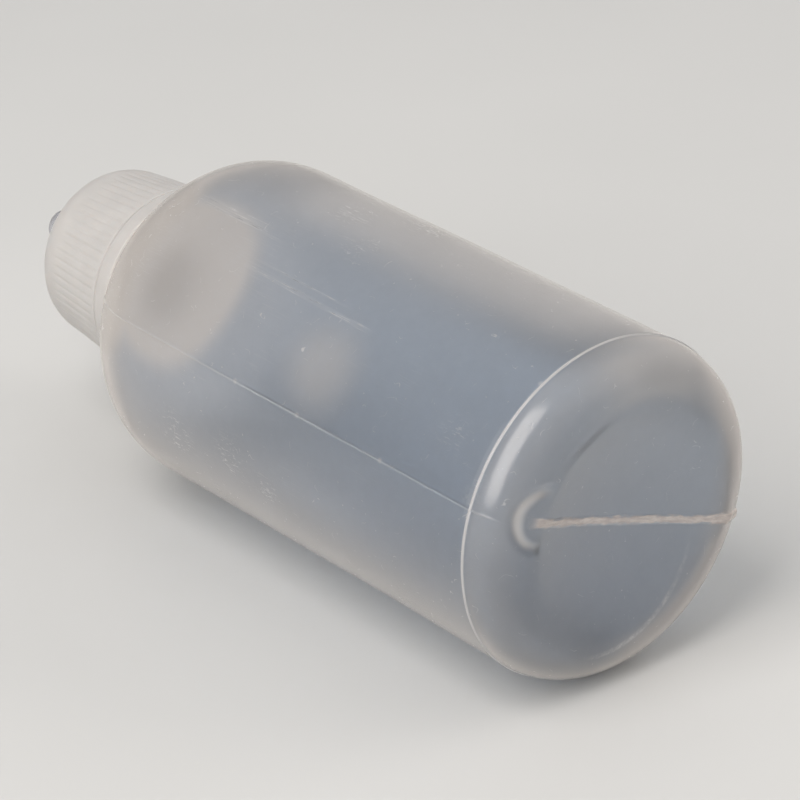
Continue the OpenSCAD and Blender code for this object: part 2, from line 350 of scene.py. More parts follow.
def cap_profile():
    band_top = CAP_Z + BAND
    band_lo, band_hi = CAP_Z + 0.45, band_top - 0.12
    step_out, step_in = flared_r(band_top) - 0.08, side_r(band_top) - 0.15
    groove_top = band_top + BAND_GROOVE
    rib_lo = groove_top + 0.1
    tangent_z = edge_z + EDGE * math.sin(TAPER)
    bore_rows = int((edge_z - CAP_Z) / 0.16)
    return join(
        [
            ("mouth", line((CAP_BORE + 0.3, CAP_Z), (CAP_R - 0.1, CAP_Z), 4)),
            ("band", arc(CAP_R - 0.1, CAP_Z + 0.3, 0.3, -80, -10, 5)),
            ("band", line((flared_r(band_lo), band_lo), (flared_r(band_hi), band_hi), 5)),
            ("band", line((step_out, band_top), (step_in, band_top + 0.06), 3)),
            ("groove", arc(side_r(band_top + 0.3) - 0.02, band_top + 0.28, 0.23, -120, -240, 7)),
            ("groove", line((side_r(groove_top), groove_top + 0.02), (side_r(rib_lo), rib_lo), 2)),
            ("grip", line((side_r(rib_lo + 0.1), rib_lo + 0.1), (side_r(tangent_z), tangent_z), 34)),
            ("edge", arc(edge_r, edge_z, EDGE, 8, 90, 26)),
            ("top", line((edge_r - 0.4, CAP_TOP), (HOLE_R + 0.25, CAP_TOP), 6)),
            ("hole", arc(HOLE_R + 0.15, CAP_TOP - 0.15, 0.15, 100, 180, 4)),
            ("hole", line((HOLE_R, CAP_TOP - 0.3), (HOLE_R, roof_z), 3)),
            ("roof", line((HOLE_R + 0.1, roof_z), (BOSS_IN, roof_z), 3)),
            ("boss", line((BOSS_IN, roof_z - 0.1), (BOSS_IN, boss_z + 0.1), 4)),
            ("boss", line((BOSS_IN + 0.1, boss_z), (BOSS_OUT - 0.1, boss_z), 4)),
            ("boss", line((BOSS_OUT, boss_z + 0.1), (BOSS_OUT, roof_z - 0.25), 4)),
            ("roof", arc(edge_r, edge_z, inner_edge, 74, 0, 14)),
            ("bore", line((CAP_BORE, edge_z - 0.2), (CAP_BORE, CAP_Z + 0.35), bore_rows)),
            ("mouth", line((CAP_BORE, CAP_Z + 0.3), (CAP_BORE + 0.3, CAP_Z), 3)),
        ]
    )


def cap_offset(r, z, angle, tags):
    phase = (angle * RIBS / (2 * math.pi)) % 1.0
    groove = smooth(0.22, 0.5, 0.5 - np.abs(phase - 0.5))
    low, high = CAP_Z + BAND + 0.62, edge_z - 0.1
    fade = smooth(low, low + 0.35, z) * (1 - smooth(high - 1.5, high + 0.8, z))
    uneven = 0.018 * np.sin(3 * angle + z * 0.5) + 0.012 * np.sin(7 * angle - z * 0.3)
    ridge = helix_height(z, angle, neck_ridge_z - 1.1, 0.3, 0.65)
    out = np.where(on_runs(tags, "grip", "edge"), -RIB_DEPTH * groove * fade, 0.0)
    out += np.where(on_runs(tags, "grip", "edge", "top", "band"), uneven, 0.0)
    return out + np.where(on_runs(tags, "bore"), ridge, 0.0)


cap_points, cap_tags = cap_profile()
cap_columns = RIBS * COLUMNS_PER_RIB
cap_angles = np.arange(cap_columns) * 2 * math.pi / cap_columns
cap_obj = turned("screw_cap_skin", cap_points[:-1], cap_tags[:-1], cap_angles, cap_offset, closed=True)

# ---------------------------------------------------------------- nozzle insert and tip closure

SNAP_Z = CAP_TOP + 0.02
SPOUT_Z = SNAP_Z + 0.5
SPOUT_R = 1.3
FLANGE_R = 7.4
PLUG_Z = nozzle_low[2]
PLUG_R = BORE_R - 0.05
PLUG_HOLLOW = PLUG_R - 1.0
STEM_R = HOLE_R - 0.05
PASSAGE_R = 0.44
SMALL_COLUMNS = 96


def nozzle_profile():
    flange_in = FLANGE_R - 0.2
    flange_top = washer_top + FLANGE
    spout_top = nozzle_high[2]
    return join(
        [
            ("plug", arc(PLUG_R - 0.7, PLUG_Z + 0.3, 0.3, 180, 270, 5)),
            ("plug", arc(PLUG_R - 0.4, PLUG_Z + 0.4, 0.4, -90, 0, 7)),
            ("plug", line((PLUG_R, PLUG_Z + 0.5), (PLUG_R, washer_top - 0.02), 6)),
            ("flange", line((PLUG_R + 0.1, washer_top), (flange_in, washer_top), 4)),
            ("flange", arc(flange_in, washer_top + 0.2, 0.2, -80, 0, 4)),
            ("flange", arc(flange_in, flange_top - 0.2, 0.2, 0, 90, 5)),
            ("flange", line((7.0, flange_top), (STEM_R + 0.1, flange_top), 5)),
            ("stem", line((STEM_R, flange_top + 0.1), (STEM_R, SNAP_Z - 0.05), 5)),
            ("snap", line((STEM_R + 0.05, SNAP_Z), (HOLE_R + 0.15, SNAP_Z), 2)),
            ("snap", arc(HOLE_R + 0.05, SNAP_Z + 0.15, 0.15, -80, 60, 6)),
            ("snap", line((HOLE_R - 0.2, SPOUT_Z - 0.04), (SPOUT_R + 0.15, SPOUT_Z), 5)),
            ("spout", line((SPOUT_R, SPOUT_Z + 0.12), (SPOUT_R, spout_top - 0.25), 8)),
            ("spout", arc(SPOUT_R - 0.2, spout_top - 0.2, 0.2, 0, 90, 5)),
            ("spout", line((0.9, spout_top), (0.5, spout_top), 3)),
            ("passage", line((PASSAGE_R, spout_top - 0.06), (PASSAGE_R, flange_top - 0.2), 8)),
            ("passage", line((0.6, flange_top - 0.35), (PLUG_HOLLOW, PLUG_Z + 1.7), 8)),
            ("passage", line((PLUG_HOLLOW, PLUG_Z + 1.6), (PLUG_HOLLOW, PLUG_Z + 0.4), 4)),
        ]
    )


def still(r, z, angle, tags):
    """The nozzle is small and stiff, so it has no unevenness."""
    return np.zeros_like(r)


small_angles = np.arange(SMALL_COLUMNS) * 2 * math.pi / SMALL_COLUMNS
nozzle_points, nozzle_tags = nozzle_profile()
nozzle_obj = turned("nozzle_insert_skin", nozzle_points, nozzle_tags, small_angles, still, closed=True)

TIP_RIM_R = 2.25
TIP_SIDE_R = 2.02
DOME_R = 2.12
TIP_SKIN = 1.4
TIP_BORE_R = 1.33
TUBE_BORE_R = 0.75
TIP_LEAN = 0.4


def tip_profile():
    """Outer and inner run of the closure."""
    z0, top = tip_low[2], tip_high[2]
    bore_top = top - TIP_SKIN
    return join(
        [
            ("mouth", line((TIP_BORE_R + 0.03, z0), (TIP_RIM_R - 0.15, z0), 4)),
            ("rim", arc(TIP_RIM_R - 0.15, z0 + 0.15, 0.15, -80, 0, 4)),
            ("rim", line((TIP_RIM_R, z0 + 0.2), (TIP_RIM_R, z0 + 0.6), 4)),
            ("rim", arc(TIP_RIM_R - 0.2, z0 + 0.6, 0.2, 10, 80, 5)),
            ("side", line((TIP_SIDE_R, z0 + 0.95), (DOME_R, top - DOME_R - 0.02), 16)),
            ("dome", arc(0, top - DOME_R, DOME_R, 4, 90, 18)),
        ]
    ), join(
        [
            ("hollow", arc(0, bore_top - TUBE_BORE_R, TUBE_BORE_R, 90, 0, 8)),
            ("hollow", line((TUBE_BORE_R, bore_top - 1.0), (TUBE_BORE_R + 0.03, z0 + 2.75), 6)),
            ("hollow", line((TIP_BORE_R, z0 + 2.55), (TIP_BORE_R, z0 + 0.1), 6)),
        ]
    )


def tip_offset(r, z, angle, tags):
    uneven = 0.02 * np.sin(2 * angle + z) + 0.015 * np.sin(3 * angle - 1.3 * z)
    return np.where(on_runs(tags, "side", "dome", "rim"), uneven * smooth(0, 0.8, r), 0.0)


tip_outer, tip_inner = tip_profile()
tip_points = np.vstack([tip_inner[0], tip_outer[0]])
tip_tags = np.concatenate([tip_inner[1], tip_outer[1]])
tip_obj = turned("tip_closure_skin", tip_points, tip_tags, small_angles, tip_offset)
# the soft closure leans a little, its bore stays on the tube
lean_from, lean_to = tip_low[2] + 0.8, tip_high[2]
for vertex in tip_obj.data.vertices:
    out, up = math.hypot(vertex.co.x, vertex.co.y) / MM, vertex.co.z / MM
    if out > TIP_BORE_R + 0.07 or up > tip_high[2] - TIP_SKIN + 0.05:
        vertex.co.y -= TIP_LEAN * max(0.0, (up - lean_from) / (lean_to - lean_from)) * MM

# ---------------------------------------------------------------- materials


# Marks on the bottle, in millimetres in the part's frame.
# Long scuffs: middle angle (degrees), lean, lower and upper height, half width.
SCUFFS = (
    (50.3, -0.02, 47.5, 58.5, 0.75),
    (48.9, 0.03, 45.0, 57.0, 0.22),
    (34.9, 0.02, 27.0, 46.0, 0.35),
    (38.5, 0.01, 31.0, 45.0, 0.16),
    (62.4, -0.10, 34.5, 40.5, 0.15),
    (72.5, 0.05, 39.0, 45.0, 0.8),
)
# Places with many fine scratches: centre, radius where they end and radius where they are full.
SCRATCHED = (
    ((15.5, -9.2, 49.3), 4.6, 0.8),
    ((16.0, -8.2, 40.0), 4.4, 0.6),
    ((15.2, -9.6, 34.5), 3.4, 0.4),
    ((4.8, 17.4, 42.8), 4.6, 0.8),
    ((0.4, 18.0, 36.7), 4.2, 0.8),
    ((8.5, 15.9, 36.9), 4.2, 0.4),
    ((17.1, 5.5, 9.8), 3.0, 0.3),
)
# Small knots left on the parting line and on the ring, and the rough place where the two meet.
KNOTS = ((18.0, 0.0, 30.2), (18.0, 0.0, 17.6), (18.0, 0.0, 40.0), (12.8, 12.8, 4.8))
KNOT_SIZE = (0.42, 0.16)
ROUGH_JOINT = ((17.9, 1.2, 4.9), 1.5, 0.3)
# Seen from its base, the lying bottle shows the cap, the neck and a smaller light spot through its wall,
# painted as light on the wall for that view: centre, radius where the patch ends and radius where it is full.
CAP_LIGHT_PATCH = ((16.2, 6.5, 53.5), 11.3, 8.0)
SHOULDER_LIGHT_PATCH = ((13.0, 5.0, 64.0), 12.0, 9.0)
SECOND_LIGHT_PATCH = ((17.2, 5.4, 29.4), 7.2, 1.2)
# Painted shade for the darker middle of the cap's patch, and painted light on the heel above the hollow.
SHADED_DISC_PATCH = ((17.4, 4.8, 54.0), 6.4, 1.8)
CROWN_LIGHT_PATCH = ((1.5, 15.8, 1.4), 11.0, 3.0)
# The ring on the far side, seen through the base and painted on it as a light arc: centre (x, y) and radius.
GHOST_RING = (1.68, -2.63, 11.59)
# Strength of the painted glow inside the neck and shoulder.
NECK_PAINTED_GLOW = 0.32
WHITE = (1, 1, 1, 1)
# A camera whose view direction climbs by more than this sees the bottle as lying.
LOOKS_UP = 0.3


class Nodes:
    """Small helper for writing node trees, by default that of a new material."""

    def __init__(self, name, tree=None):
        self.tree = tree
        if tree is None:
            self.material = bpy.data.materials.new(name)
            self.material.use_nodes = True
            self.tree = self.material.node_tree
            self.tree.nodes.clear()
            self.out = self.tree.nodes.new("ShaderNodeOutputMaterial")

    def add(self, kind, inputs=None, **props):
        n = self.tree.nodes.new(kind)
        for key, value in props.items():
            setattr(n, key, value)
        for key, value in (inputs or {}).items():
            socket = n.inputs[key]
            if isinstance(value, bpy.types.NodeSocket):
                self.tree.links.new(value, socket)
            else:
                socket.default_value = value
        return n

    def math(self, operation, a, b=0.0, clamp=False):
        n = self.add("ShaderNodeMath", {0: a, 1: b}, operation=operation)
        n.use_clamp = clamp
        return n.outputs[0]

    def ramp(self, value, low, high, out_low=0.0, out_high=1.0):
        n = self.add(
            "ShaderNodeMapRange",
            {"Value": value, "From Min": low, "From Max": high, "To Min": out_low, "To Max": out_high},
        )
        n.clamp = True
        n.interpolation_type = "SMOOTHSTEP"
        return n.outputs[0]

    def near(self, value, target, inner, outer):
        """1 within inner of the target, falling to 0 at outer."""
        away = self.math("ABSOLUTE", self.math("SUBTRACT", value, target))
        return self.ramp(away, outer, inner)

    def times(self, first, *others):
        for other in others:
            first = self.math("MULTIPLY", first, other)
        return first

    def plus(self, first, *others):
        for other in others:
            first = self.math("ADD", first, other)
        return first

    def most(self, first, *others):
        for other in others:
            first = self.math("MAXIMUM", first, other)
        return first

    def flat_length(self, a, b):
        """Length of the flat vector (a, b)."""
        return self.math("SQRT", self.plus(self.times(a, a), self.times(b, b)))

    def mix_color(self, fac, a, b):
        """Colour a where fac is 0, colour b where it is 1."""
        n = self.add("ShaderNodeMix", data_type="RGBA")
        for socket, value in ((n.inputs[0], fac), (n.inputs[6], a), (n.inputs[7], b)):
            if isinstance(value, bpy.types.NodeSocket):
                self.tree.links.new(value, socket)
            else:
                socket.default_value = value
        return n.outputs[2]

    def mix_shader(self, fac, a, b):
        return self.add("ShaderNodeMixShader", {0: fac, 1: a, 2: b}).outputs[0]

    def noise(self, vector, scale, detail=3.0, roughness=0.5):
        n = self.add(
            "ShaderNodeTexNoise",
            {"Vector": vector, "Scale": scale, "Detail": detail, "Roughness": roughness},
        )
        return n.outputs[0]

    def place(self):
        """Object coordinates in millimetres."""
        coord = self.add("ShaderNodeTexCoord").outputs["Object"]
        return self.add("ShaderNodeVectorMath", {0: coord, "Scale": 1 / MM}, operation="SCALE").outputs[0]

    def lying_view(self):
        """1 when the camera looks up from under the base, as at the lying bottle, otherwise 0."""
        forward = self.add(
            "ShaderNodeVectorTransform",
            {"Vector": (0.0, 0.0, 1.0)},
            vector_type="VECTOR",
            convert_from="CAMERA",
            convert_to="WORLD",
        ).outputs[0]
        forward_z = self.add("ShaderNodeSeparateXYZ", {0: forward}).outputs[2]
        return self.math("GREATER_THAN", forward_z, LOOKS_UP)

    def patch(self, place, spec):
        """Soft round patch: spec is its centre, the radius where it ends and the radius where it is full."""
        centre, outer, inner = spec
        away = self.add("ShaderNodeVectorMath", {0: place, 1: centre}, operation="DISTANCE")
        return self.ramp(away.outputs["Value"], outer, inner)

    def stretched(self, vector, scale):
        return self.add("ShaderNodeMapping", {"Vector": vector, "Scale": scale}).outputs[0]

    def bumped(self, height, strength, distance):
        inputs = {"Strength": strength, "Distance": distance, "Height": height}
        return self.add("ShaderNodeBump", inputs).outputs[0]

    def see_through(self, tint, roughness, ior, bump):
        """Clear plastic that blurs what is behind it."""
        inputs = {"Color": tint, "Roughness": roughness, "IOR": ior, "Normal": bump}
        return self.add("ShaderNodeBsdfRefraction", inputs).outputs[0]

    def milky(self, color, from_behind, bump):
        """Milky plastic; from_behind is the share of light that comes through it."""
        inputs = {"Color": color, "Normal": bump}
        front = self.add("ShaderNodeBsdfDiffuse", inputs).outputs[0]
        back = self.add("ShaderNodeBsdfTranslucent", inputs).outputs[0]
        return self.mix_shader(from_behind, front, back)

    def under_gloss(self, inner, color, roughness, ior, bump):
        """The inner shader under a shiny skin."""
        inputs = {"Color": color, "Roughness": roughness, "Normal": bump}
        gloss = self.add("ShaderNodeBsdfGlossy", inputs).outputs[0]
        fresnel = self.add("ShaderNodeFresnel", {"IOR": ior, "Normal": bump}).outputs[0]
        return self.mix_shader(fresnel, inner, gloss)

    def finish(self, shader):
        self.tree.links.new(shader, self.out.inputs["Surface"])
        return self.material


class BottleNodes(Nodes):
    """Nodes with the place on the bottle's skin ready: coordinates, radius and angle round the axis."""

    def __init__(self, name):
        super().__init__(name)
        self.spot = self.place()
        self.x, self.y, self.z = self.add("ShaderNodeSeparateXYZ", {0: self.spot}).outputs
        self.out_r = self.flat_length(self.x, self.y)
        self.angle = self.math("ARCTAN2", self.y, self.x)
        self.lying = self.lying_view()


def lying_painted_light(m, milk):
    """Painted light and shade for what shows through the wall of the lying bottle: its colour over the milk,
    and its added haze.
    """
    # painted light where the cap, the neck and a smaller spot show through the wall
    seen_cap_light = m.most(m.patch(m.spot, CAP_LIGHT_PATCH), m.patch(m.spot, SHOULDER_LIGHT_PATCH))
    patch = m.times(m.most(seen_cap_light, m.times(m.patch(m.spot, SECOND_LIGHT_PATCH), 0.66)), m.lying)
    # painted shade in the middle of the cap's patch
    painted_disc_shade = m.times(m.patch(m.spot, SHADED_DISC_PATCH), m.lying)
    # painted light: the heel lit round the hollow from above, and its thick edge on the far side too
    painted_crown_light = m.times(m.ramp(m.out_r, 12.0, 14.0), m.ramp(m.z, HEEL, 1.5))
    painted_crown_light = m.times(painted_crown_light, m.patch(m.spot, CROWN_LIGHT_PATCH), m.lying)
    beyond = m.times(m.ramp(m.out_r, 12.4, 14.4), m.ramp(m.x, -3.0, -10.0))
    below = m.times(m.ramp(m.out_r, 11.6, 13.6), m.ramp(m.y, 1.0, -3.0), m.ramp(m.x, 0.0, -7.0))
    painted_far_rim_light = m.times(m.most(beyond, below), m.ramp(m.z, HEEL + 0.4, HEEL - 0.6), m.lying)
    added = 0.0
    for share, strength, tone, haze in (
        (patch, 1.0, (0.70, 0.655, 0.615, 1), 0.20),
        (painted_disc_shade, 0.34, (0.54, 0.51, 0.49, 1), 0.0),
        (painted_crown_light, 0.6, (0.80, 0.765, 0.735, 1), 0.28),
        (painted_far_rim_light, 0.7, (0.74, 0.69, 0.655, 1), 0.34),
    ):
        milk = m.mix_color(m.times(share, strength), milk, tone)
        added = m.plus(m.times(share, haze), added)
    return milk, added


def painted_far_ring(m):
    """Painted light arc for the ring on the far side, seen broken and faint through the base of the lying
    bottle.
    """
    across = m.math("SUBTRACT", m.x, GHOST_RING[0])
    along = m.math("SUBTRACT", m.y, GHOST_RING[1])
    ring = m.near(m.flat_length(across, along), GHOST_RING[2], 0.08, 0.42)
    ring = m.times(ring, m.ramp(m.z, 1.3, 0.9), m.ramp(m.y, -1.5, -4.0), m.ramp(m.x, 1.5, -1.5))
    broken = m.ramp(m.noise(m.spot, 1.6, 3.0, 0.6), 0.35, 0.65, 0.25, 1.0)
    return m.times(ring, broken, m.ramp(m.y, -2.0, -10.0, 0.45, 1.0), m.lying)


def mould_lines_and_ring_light(m):
    """Light lines left by the mould: down the sides, round the heel, and small knots on them; also the
    painted light arc of the far ring.
    """
    side_line = m.times(m.near(m.y, 0.0, 0.05, 0.16), m.ramp(m.z, 1.0, 2.2), 0.34)
    ring_line = m.near(m.z, HEEL, 0.13, 0.30)
    second = m.near(m.z, HEEL + 0.5, 0.06, 0.34)
    second = m.times(second, m.near(m.angle, math.radians(13), 0.16, 0.34), 0.4)
    joint = m.ramp(m.noise(m.spot, 2.6, 3.0, 0.6), 0.42, 0.62)
    joint = m.times(m.patch(m.spot, ROUGH_JOINT), joint, 0.6)
    knots = [m.times(m.patch(m.spot, (knot, *KNOT_SIZE)), 0.75) for knot in KNOTS]
    return m.most(side_line, ring_line, second, painted_far_ring(m), joint, *knots)


def base_weld(m, stretched_spot):
    """Share of the ragged weld across the base, in line with its relief."""
    sway = m.add("ShaderNodeCombineXYZ", {0: m.times(m.x, 0.5), 1: 3.0, 2: 1.0}).outputs[0]
    sway = m.ramp(m.noise(sway, 1.0, 2.0), 0.2, 0.8, -0.08, 0.08)
    out_x = m.math("ABSOLUTE", m.x)
    bow = m.times(m.math("POWER", m.math("DIVIDE", out_x, 15.0), 2.0), WELD_RISE)
    across = m.math("ABSOLUTE", m.math("SUBTRACT", m.y, m.plus(bow, sway)))
    ragged = m.ramp(m.noise(stretched_spot, 1.3, 2.0, 0.5), 0.3, 0.7, 0.36, 0.60)
    ragged = m.plus(ragged, m.ramp(out_x, 11.5, 13.5, 0.0, 0.20))
    weld = m.math("SUBTRACT", 1.0, m.ramp(m.math("SUBTRACT", across, ragged), -0.22, 0.10))
    left, right = WELD_ENDS
    ends = m.times(m.ramp(m.x, left + 0.3, left - 1.5), m.ramp(m.x, right, right + 0.4))
    return m.times(weld, ends, m.ramp(m.z, 2.6, 2.2))


def painted_groove_highlight(m):
    """Share of the painted highlight round the inner side of the groove at the weld's end."""
    flat_x = m.math("SUBTRACT", m.x, GROOVE_AT[0])
    flat_y = m.math("SUBTRACT", m.y, GROOVE_AT[1])
    bend = m.near(m.flat_length(flat_x, flat_y), 2.75, 0.10, 0.72)
    return m.times(bend, m.ramp(flat_x, -1.4, 1.2), m.ramp(m.z, 3.4, 2.6))


def long_scuffs(m, fine):
    """Share of the long scuffs along the wall."""
    around = m.times(m.angle, R_BODY)
    scuffs = 0.0
    for middle_deg, lean, low, high, half in SCUFFS:
        start = math.radians(middle_deg) * R_BODY - lean * (low + high) / 2
        beside = m.math("SUBTRACT", around, m.plus(m.times(m.z, lean), start))
        ends = m.times(m.ramp(m.z, low - 1.5, low + 1.5), m.ramp(m.z, high + 1.5, high - 1.5))
        scuffs = m.plus(m.times(m.near(beside, 0.0, half * 0.6, half), ends), scuffs)
    return m.math("MULTIPLY", scuffs, m.plus(m.times(fine, 0.75), 0.25), clamp=True)


def scratches(m):
    """Share of the fine scratches in the worn places."""
    places = m.most(*[m.patch(m.spot, scratched) for scratched in SCRATCHED])
    short = m.ramp(m.noise(m.stretched(m.spot, (4.2, 4.2, 1.0)), 1.0, 3.0, 0.6), 0.54, 0.64, 0.0, 0.6)
    curl = m.near(m.noise(m.spot, 1.0, 1.0, 0.4), 0.5, 0.003, 0.014)
    curl = m.times(curl, m.ramp(m.noise(m.spot, 1.5, 2.0), 0.48, 0.60, 0.0, 0.7))
    return m.times(m.most(short, curl), places)


def hairs_and_specks(m, fine):
    """Share of the hair scratches, specks and faint dull streaks all over the wall."""
    hair = m.near(m.noise(m.spot, 0.42, 1.5, 0.4), 0.5, 0.001, 0.006)
    hair = m.times(hair, m.ramp(m.noise(m.spot, 0.8, 2.0), 0.58, 0.66), 0.8)
    specks = m.times(m.ramp(m.noise(m.spot, 2.4, 2.0, 0.4), 0.735, 0.78), 0.8)
    dull = m.times(fine, m.ramp(m.noise(m.spot, 0.14, 2.0), 0.50, 0.66), 0.22)
    return m.most(hair, specks, dull)


def bottle_material():
    m = BottleNodes("soft_bottle_plastic")
    # cool grey in the middle, warmer and milkier at the edges and the shoulder
    facing = m.add("ShaderNodeLayerWeight", {"Blend": 0.5}).outputs["Facing"]
    edge = m.ramp(facing, 0.28, 0.92)
    shoulder = m.ramp(m.z, 52.0, 66.0)
    rim = m.times(m.ramp(m.out_r, 12.0, 17.0), m.ramp(m.z, HEEL + 0.2, HEEL - 0.8))
    warm = m.plus(m.times(edge, 0.9), m.times(shoulder, 0.45))
    warm = m.math("ADD", warm, m.times(rim, 0.30), clamp=True)
    tint = m.mix_color(warm, (0.79, 0.838, 0.90, 1), (0.88, 0.865, 0.845, 1))
    # the see-through tint darker under the base: painted shade
    tint = m.mix_color(m.ramp(m.z, 2.6, 0.9), tint, (0.76, 0.765, 0.775, 1))
    milk = m.mix_color(warm, (0.37, 0.415, 0.475, 1), (0.84, 0.795, 0.76, 1))
    milk, painted_lying_haze = lying_painted_light(m, milk)
    # what lies on the skin
    along_weld = m.stretched(m.spot, (0.55, 2.2, 1.0))
    lines, weld, groove_highlight = mould_lines_and_ring_light(m), base_weld(m, along_weld), painted_groove_highlight(m)
    fine = m.ramp(m.noise(m.stretched(m.spot, (7.0, 7.0, 0.30)), 1.0, 4.0, 0.65), 0.52, 0.66)
    scuffs = long_scuffs(m, fine)
    worn_and_lit_band = m.times(m.near(m.angle, math.radians(81), 0.16, 0.54), m.near(m.z, 28.0, 16.0, 27.0))
    worn = m.times(worn_and_lit_band, m.ramp(fine, 0.0, 1.0, 0.10, 0.26))
    marks = m.most(hairs_and_specks(m, fine), m.times(scuffs, 0.85), scratches(m), worn)
    # in the lying view the same band is lighter: painted light along the top of the lying bottle
    lit_band = m.times(worn_and_lit_band, m.lying)
    # relief and roughness
    height = m.plus(m.times(m.noise(m.spot, 5.0, 3.0, 0.6), 0.04), m.times(marks, -0.25))
    height = m.plus(height, m.times(weld, m.noise(along_weld, 2.4, 3.0), 0.5))
    bump = m.bumped(height, 0.25, 0.0004)
    rough = m.plus(m.times(m.noise(m.spot, 0.09, 3.0), 0.10), m.times(marks, 0.25), 0.13)
    # the milky part carries the colours of the lines and marks; the lines include the painted light arc of
    # the far ring
    color = m.mix_color(lines, milk, (0.90, 0.89, 0.88, 1))
    color = m.mix_color(m.times(lit_band, 0.4), color, (0.84, 0.80, 0.77, 1))
    # in the scuffs, the blacker streaks are painted shade beside the light ones; the light marks are the
    # wear's own colour
    dark = m.ramp(m.noise(m.stretched(m.spot, (4.0, 4.0, 0.16)), 1.0, 2.0), 0.49, 0.55)
    mark_and_shade_tone = m.mix_color(m.times(dark, scuffs), (0.86, 0.85, 0.84, 1), (0.30, 0.31, 0.33, 1))
    color = m.mix_color(marks, color, mark_and_shade_tone)
    # painted highlight round the groove at the weld's end
    color = m.mix_color(groove_highlight, color, (0.86, 0.82, 0.78, 1))
    weld_tone = m.ramp(m.noise(along_weld, 1.1, 3.0, 0.6), 0.3, 0.7)
    weld_tone = m.mix_color(weld_tone, (0.74, 0.64, 0.59, 1), (0.97, 0.88, 0.81, 1))
    color = m.mix_color(weld, color, weld_tone)
    # how milky each place is
    mottle = m.ramp(m.noise(m.spot, 0.55, 4.0, 0.6), 0.25, 0.75, -0.03, 0.03)
    amount = m.plus(m.times(warm, 0.55), mottle, 0.34, painted_lying_haze, m.times(lit_band, 0.18))
    solid = m.most(marks, m.times(lines, 0.8), m.times(weld, 0.85), m.times(groove_highlight, 0.60))
    amount = m.math("MAXIMUM", amount, solid, clamp=True)
    inner = m.mix_shader(amount, m.see_through(tint, 0.38, 1.35, bump), m.milky(color, 0.45, bump))
    return m.finish(m.under_gloss(inner, (1, 0.975, 0.95, 1), rough, 1.58, bump))


def bottle_inner_material():
    m = Nodes("soft_bottle_plastic_inside")
    place = m.place()
    z = m.add("ShaderNodeSeparateXYZ", {0: place}).outputs[2]
    facing = m.add("ShaderNodeLayerWeight", {"Blend": 0.3}).outputs["Fresnel"]
    see = m.add(
        "ShaderNodeBsdfRefraction", {"Color": (0.97, 0.98, 1, 1), "Roughness": 0.25, "IOR": 1.35}
    ).outputs[0]
    gloss = m.add("ShaderNodeBsdfGlossy", {"Color": (0.8, 0.8, 0.8, 1), "Roughness": 0.3}).outputs[0]
    clear = m.mix_shader(m.math("MULTIPLY", facing, 0.5), see, gloss)
    # painted glow: emission stands in for light carried down inside the neck and shoulder
    glow = m.add("ShaderNodeEmission", {"Color": (1.0, 0.93, 0.87, 1), "Strength": NECK_PAINTED_GLOW}).outputs[0]
    white = m.add("ShaderNodeBsdfDiffuse", {"Color": (0.8, 0.77, 0.74, 1)}).outputs[0]
    lit = m.add("ShaderNodeAddShader", {0: glow, 1: white}).outputs[0]
    return m.finish(m.mix_shader(m.ramp(z, 63.0, 69.0, 0.0, 0.7), clear, lit))


def cap_material():
    m = Nodes("white_cap_plastic")
    place = m.place()
    clouds = m.noise(place, 0.35, 3.0)
    color = m.mix_color(clouds, (0.47, 0.455, 0.443, 1), (0.54, 0.525, 0.51, 1))
    grain = m.noise(place, 7.0, 3.0, 0.6)
    bump = m.bumped(grain, 0.12, 0.0002)
    body = m.add(
        "ShaderNodeBsdfPrincipled",
        {
            "Base Color": color,
            "Roughness": m.ramp(grain, 0.3, 0.7, 0.48, 0.6),
            "IOR": 1.49,
            "Subsurface Weight": 0.5,
            "Subsurface Radius": (0.0018, 0.0015, 0.0013),
            "Subsurface Scale": 1.0,
            "Normal": bump,
        },
    )
    return m.finish(body.outputs[0])


def clear_material(name, tint, milk, haze_amount, roughness):
    """Clear soft plastic with some milk in it."""
    m = Nodes(name)
    place = m.place()
    bump = m.bumped(m.noise(place, 3.0, 3.0), 0.15, 0.0002)
    facing = m.add("ShaderNodeLayerWeight", {"Blend": 0.4}).outputs["Facing"]
    amount = m.math("ADD", m.times(m.ramp(facing, 0.3, 1.0), 0.4), haze_amount, clamp=True)
    inner = m.mix_shader(amount, m.see_through(tint, roughness, 1.4, bump), m.milky(milk, 0.5, bump))
    return m.finish(m.under_gloss(inner, WHITE, 0.18, 1.5, bump))


def foam_material():
    m = Nodes("washer_foam")
    place = m.place()
    cells = m.add("ShaderNodeTexVoronoi", {"Vector": place, "Scale": 4.0}).outputs["Distance"]
    color = m.mix_color(cells, (0.78, 0.78, 0.74, 1), (0.86, 0.86, 0.83, 1))
    bump = m.bumped(cells, 0.4, 0.0002)
    body = m.add("ShaderNodeBsdfPrincipled", {"Base Color": color, "Roughness": 0.8, "Normal": bump})
    return m.finish(body.outputs[0])


def steel_material():
    m = Nodes("tube_steel")
    place = m.place()
    drawn = m.noise(m.stretched(place, (14.0, 14.0, 0.5)), 1.0, 3.0, 0.6)
    color = m.mix_color(drawn, (0.56, 0.57, 0.58, 1), (0.72, 0.72, 0.73, 1))
    body = m.add(
        "ShaderNodeBsdfPrincipled",
        {"Base Color": color, "Metallic": 1.0, "Roughness": m.ramp(drawn, 0.3, 0.7, 0.22, 0.36)},
    )
    return m.finish(body.outputs[0])


for material in (bottle_material(), bottle_inner_material()):
    body_obj.data.materials.append(material)
cap_obj.data.materials.append(cap_material())
nozzle_obj.data.materials.append(
    clear_material("nozzle_plastic", (0.86, 0.88, 0.9, 1), (0.72, 0.73, 0.74, 1), 0.5, 0.3)
)
tip_obj.data.materials.append(
    clear_material("closure_plastic", (0.93, 0.93, 0.955, 1), (0.58, 0.58, 0.61, 1), 0.32, 0.16)
)


